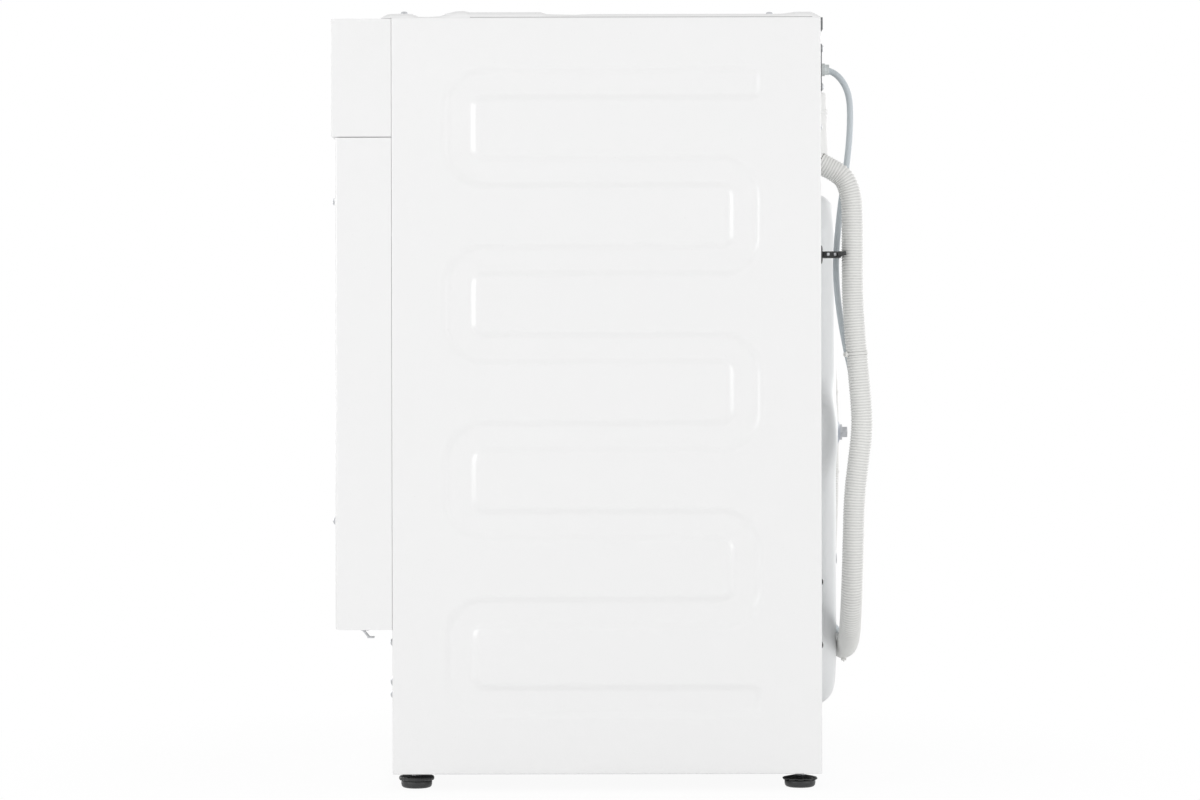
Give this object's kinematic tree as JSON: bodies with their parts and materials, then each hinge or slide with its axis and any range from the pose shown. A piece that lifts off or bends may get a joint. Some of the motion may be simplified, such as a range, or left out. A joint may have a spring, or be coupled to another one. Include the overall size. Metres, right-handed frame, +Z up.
{
  "type": "integrated washing machine",
  "caption": "Built-in front-loading washing machine with porthole door, detergent drawer, ribbed drain hose, mains cable and levelling feet",
  "frame": {"origin": "middle of the machine's footprint at floor level, cords left out", "axes": "+X to the machine's right-hand side panel seen in the picture, +Y towards the back, +Z up"},
  "size_m": [0.595, 0.5827, 0.82],
  "materials": {
    "white_enamel": "satin",
    "white_plastic": "satin",
    "white_moulding": "satin",
    "coated_sheet": "matte",
    "zinc_steel": "satin",
    "stainless": "polished",
    "grey_plastic": "satin",
    "black_plastic": "matte",
    "bush_plastic": "matte",
    "gland_plastic": "satin",
    "valve_plastic": "satin",
    "hose_plastic": "satin",
    "cable_sheath": "satin",
    "plug_plastic": "satin",
    "black_rubber": "matte",
    "gasket_rubber": "matte",
    "door_glass": "clear",
    "display": "gloss",
    "circuit_board": "satin",
    "tub_plastic": "matte",
    "concrete": "rough",
    "motor_case": "satin",
    "bearing_steel": "polished",
    "cast_aluminium": "cast"
  },
  "bodies": {
    "cabinet": {"side_panel_left": "white_enamel", "side_panel_right": "white_enamel", "rear_panel": "coated_sheet", "service_cover": "coated_sheet", "top_cover": "white_enamel", "base_frame": "black_plastic", "lower_front_panel": "white_enamel", "plinth_panel": "white_enamel", "control_fascia": "white_plastic", "detergent_housing": "white_moulding", "rear_brackets": "zinc_steel", "cable_gland": "gland_plastic", "inlet_valve": "valve_plastic", "hose_clips": "black_plastic", "transit_bolts": "zinc_steel", "transit_bushes": "bush_plastic", "cabinet_screws": "zinc_steel", "plinth_hook": "zinc_steel", "drain_outlet": "white_moulding", "door_lock": "black_plastic", "door_gasket": "gasket_rubber", "display_window": "display", "control_board": "circuit_board", "tub_front": "tub_plastic", "tub_rear": "tub_plastic", "counterweights": "concrete", "suspension_springs": "zinc_steel", "dampers": "black_plastic", "drive_motor": "motor_case", "drive_belt": "black_rubber", "drum_bearings": "bearing_steel", "heater": "bearing_steel", "drain_pump": "valve_plastic", "inner_hoses": "black_rubber", "door_hinge": "zinc_steel", "drain_hose": "hose_plastic", "mains_cable": "cable_sheath", "mains_plug": "plug_plastic", "cable_ties": "white_moulding"},
    "drum": {"drum_shell": "stainless", "drum_lifters": "grey_plastic", "drum_spider": "cast_aluminium", "drum_pulley": "cast_aluminium"},
    "motor_shaft": {"motor_pulley": "zinc_steel"},
    "impeller": {"pump_impeller": "black_plastic"},
    "filter": {"filter_cap": "valve_plastic"},
    "flap": {"filter_flap": "white_moulding"},
    "door": {"door_outer_ring": "white_plastic", "door_inner_ring": "grey_plastic", "door_glass": "door_glass"},
    "handle": {"door_handle": "white_plastic"},
    "drawer": {"detergent_drawer": "white_plastic"},
    "knob": {"program_knob": "white_plastic"},
    "option_button_body": {"option_button": "white_plastic"},
    "start_button_body": {"start_button": "white_plastic"},
    "power_button_body": {"power_button": "white_plastic"},
    "foot_front_left_body": {"foot_front_left": "black_plastic"},
    "foot_front_right_body": {"foot_front_right": "black_plastic"},
    "foot_rear_left_body": {"foot_rear_left": "black_plastic"},
    "foot_rear_right_body": {"foot_rear_right": "black_plastic"}
  },
  "joints": [
    {"name": "door_swing", "type": "hinge", "parent": "cabinet", "child": "door", "pos_m": [-0.211, -0.27, 0.43], "axis": [0, 0, -1], "range_deg": [0, 150]},
    {"name": "handle_pull", "type": "hinge", "parent": "door", "child": "handle", "pos_m": [0.174, -0.26925, 0.43], "axis": [0, 0, -1], "range_deg": [0, 12], "stiffness_Nm_per_rad": 0.6},
    {"name": "drawer_slide", "type": "slide", "parent": "cabinet", "child": "drawer", "axis": [0, -1, 0], "range_m": [0, 0.19]},
    {"name": "knob_turn", "type": "hinge", "parent": "cabinet", "child": "knob", "pos_m": [-0.06, -0.272, 0.75225], "axis": [0, -1, 0], "continuous": true},
    {"name": "drum_spin", "type": "hinge", "parent": "cabinet", "child": "drum", "pos_m": [0, 0, 0.43], "axis": [0, 1, 0], "continuous": true},
    {"name": "motor_spin", "type": "hinge", "parent": "cabinet", "child": "motor_shaft", "pos_m": [-0.15, 0.2, 0.137], "axis": [0, 1, 0], "continuous": true},
    {"name": "impeller_spin", "type": "hinge", "parent": "cabinet", "child": "impeller", "pos_m": [0.195, -0.12, 0.096], "axis": [0, 1, 0], "continuous": true},
    {"name": "filter_turn", "type": "hinge", "parent": "cabinet", "child": "filter", "pos_m": [0.195, -0.19, 0.096], "axis": [0, -1, 0], "range_deg": [0, 120]},
    {"name": "flap_swing", "type": "hinge", "parent": "cabinet", "child": "flap", "pos_m": [0.195, -0.208, 0.056], "axis": [1, 0, 0], "range_deg": [0, 100]},
    {"name": "option_button_press", "type": "slide", "parent": "cabinet", "child": "option_button_body", "axis": [0, 1, 0], "range_m": [0, 0.0014], "stiffness_N_per_m": 900},
    {"name": "start_button_press", "type": "slide", "parent": "cabinet", "child": "start_button_body", "axis": [0, 1, 0], "range_m": [0, 0.0014], "stiffness_N_per_m": 900},
    {"name": "power_button_press", "type": "slide", "parent": "cabinet", "child": "power_button_body", "axis": [0, 1, 0], "range_m": [0, 0.0014], "stiffness_N_per_m": 900},
    {"name": "foot_front_left_screw", "type": "slide", "parent": "cabinet", "child": "foot_front_left_body", "axis": [0, 0, -1], "range_m": [0, 0.02]},
    {"name": "foot_front_right_screw", "type": "slide", "parent": "cabinet", "child": "foot_front_right_body", "axis": [0, 0, -1], "range_m": [0, 0.02]},
    {"name": "foot_rear_left_screw", "type": "slide", "parent": "cabinet", "child": "foot_rear_left_body", "axis": [0, 0, -1], "range_m": [0, 0.02]},
    {"name": "foot_rear_right_screw", "type": "slide", "parent": "cabinet", "child": "foot_rear_right_body", "axis": [0, 0, -1], "range_m": [0, 0.02]}
  ],
  "couplings": [
    {"joint": "motor_spin", "follows": "drum_spin", "ratio": 13}
  ]
}
